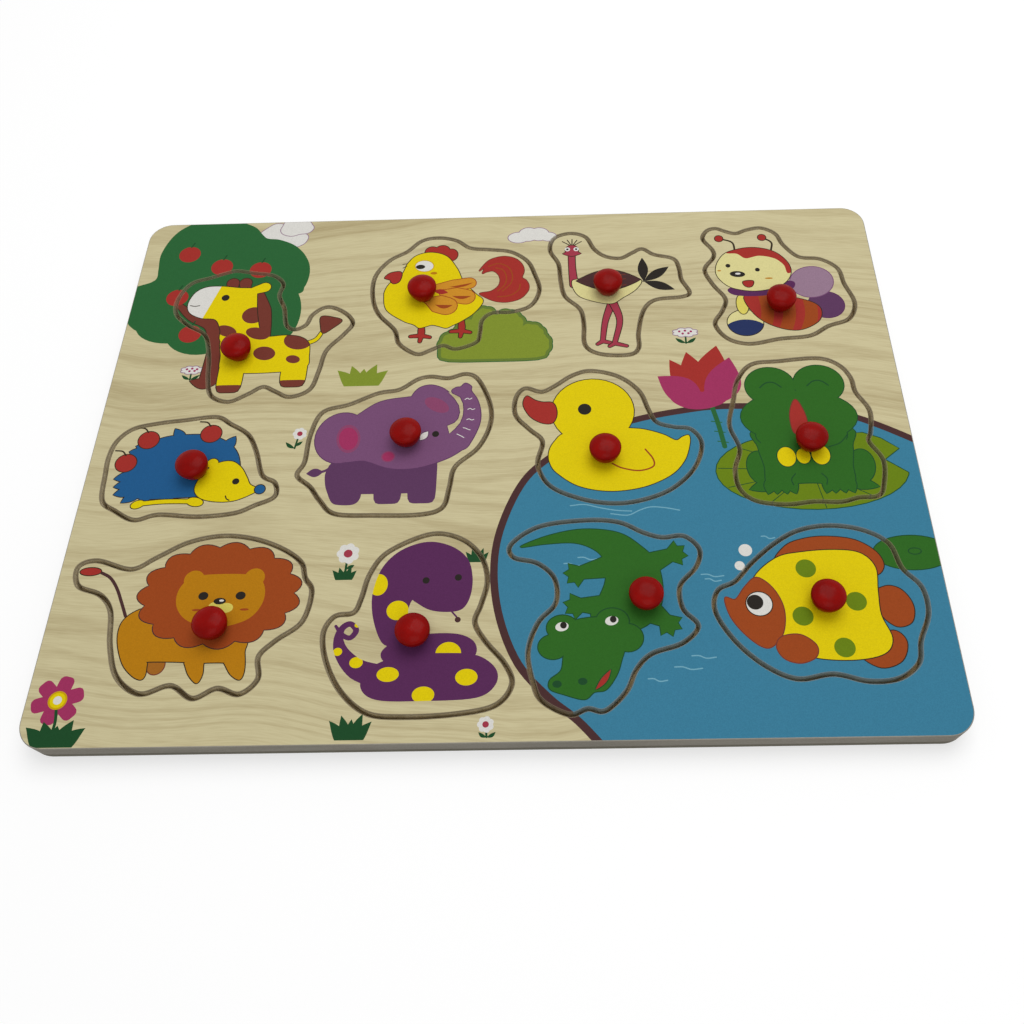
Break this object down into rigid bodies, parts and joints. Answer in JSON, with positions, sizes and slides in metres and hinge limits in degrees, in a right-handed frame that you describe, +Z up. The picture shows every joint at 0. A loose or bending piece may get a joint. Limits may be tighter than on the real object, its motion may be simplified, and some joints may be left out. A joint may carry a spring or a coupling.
{
  "type": "peg puzzle",
  "caption": "Flat rectangular wooden board with printed animal pieces that lift out of matching recesses, each held by a round red knob.",
  "frame": {"origin": "middle of the underside of the backing board", "axes": "+X along the board's width to the right, +Y to the back of the picture, +Z up out of the print"},
  "size_m": [0.3, 0.225, 0.0171],
  "materials": {
    "frame_print": "printed, satin lacquer",
    "backing_wood": "bare, sanded",
    "giraffe_print": "printed, satin lacquer",
    "hen_print": "printed, satin lacquer",
    "ostrich_print": "printed, satin lacquer",
    "bee_print": "printed, satin lacquer",
    "hedgehog_print": "printed, satin lacquer",
    "elephant_print": "printed, satin lacquer",
    "duck_print": "printed, satin lacquer",
    "frog_print": "printed, satin lacquer",
    "lion_print": "printed, satin lacquer",
    "snake_print": "printed, satin lacquer",
    "crocodile_print": "printed, satin lacquer",
    "fish_print": "printed, satin lacquer",
    "knob_red": "glossy",
    "screw_steel": "zinc plated"
  },
  "bodies": {
    "board": {"frame_board": "frame_print", "backing_board": "backing_wood"},
    "giraffe": {"giraffe_piece": "giraffe_print", "giraffe_knob": "knob_red", "giraffe_screw": "screw_steel"},
    "hen": {"hen_piece": "hen_print", "hen_knob": "knob_red", "hen_screw": "screw_steel"},
    "ostrich": {"ostrich_piece": "ostrich_print", "ostrich_knob": "knob_red", "ostrich_screw": "screw_steel"},
    "bee": {"bee_piece": "bee_print", "bee_knob": "knob_red", "bee_screw": "screw_steel"},
    "hedgehog": {"hedgehog_piece": "hedgehog_print", "hedgehog_knob": "knob_red", "hedgehog_screw": "screw_steel"},
    "elephant": {"elephant_piece": "elephant_print", "elephant_knob": "knob_red", "elephant_screw": "screw_steel"},
    "duck": {"duck_piece": "duck_print", "duck_knob": "knob_red", "duck_screw": "screw_steel"},
    "frog": {"frog_piece": "frog_print", "frog_knob": "knob_red", "frog_screw": "screw_steel"},
    "lion": {"lion_piece": "lion_print", "lion_knob": "knob_red", "lion_screw": "screw_steel"},
    "snake": {"snake_piece": "snake_print", "snake_knob": "knob_red", "snake_screw": "screw_steel"},
    "crocodile": {"crocodile_piece": "crocodile_print", "crocodile_knob": "knob_red", "crocodile_screw": "screw_steel"},
    "fish": {"fish_piece": "fish_print", "fish_knob": "knob_red", "fish_screw": "screw_steel"}
  },
  "joints": [
    {"name": "giraffe_lift", "type": "slide", "parent": "board", "child": "giraffe", "axis": [0, 0, 1], "range_m": [0, 0.03]},
    {"name": "hen_lift", "type": "slide", "parent": "board", "child": "hen", "axis": [0, 0, 1], "range_m": [0, 0.03]},
    {"name": "ostrich_lift", "type": "slide", "parent": "board", "child": "ostrich", "axis": [0, 0, 1], "range_m": [0, 0.03]},
    {"name": "bee_lift", "type": "slide", "parent": "board", "child": "bee", "axis": [0, 0, 1], "range_m": [0, 0.03]},
    {"name": "hedgehog_lift", "type": "slide", "parent": "board", "child": "hedgehog", "axis": [0, 0, 1], "range_m": [0, 0.03]},
    {"name": "elephant_lift", "type": "slide", "parent": "board", "child": "elephant", "axis": [0, 0, 1], "range_m": [0, 0.03]},
    {"name": "duck_lift", "type": "slide", "parent": "board", "child": "duck", "axis": [0, 0, 1], "range_m": [0, 0.03]},
    {"name": "frog_lift", "type": "slide", "parent": "board", "child": "frog", "axis": [0, 0, 1], "range_m": [0, 0.03]},
    {"name": "lion_lift", "type": "slide", "parent": "board", "child": "lion", "axis": [0, 0, 1], "range_m": [0, 0.03]},
    {"name": "snake_lift", "type": "slide", "parent": "board", "child": "snake", "axis": [0, 0, 1], "range_m": [0, 0.03]},
    {"name": "crocodile_lift", "type": "slide", "parent": "board", "child": "crocodile", "axis": [0, 0, 1], "range_m": [0, 0.03]},
    {"name": "fish_lift", "type": "slide", "parent": "board", "child": "fish", "axis": [0, 0, 1], "range_m": [0, 0.03]}
  ]
}
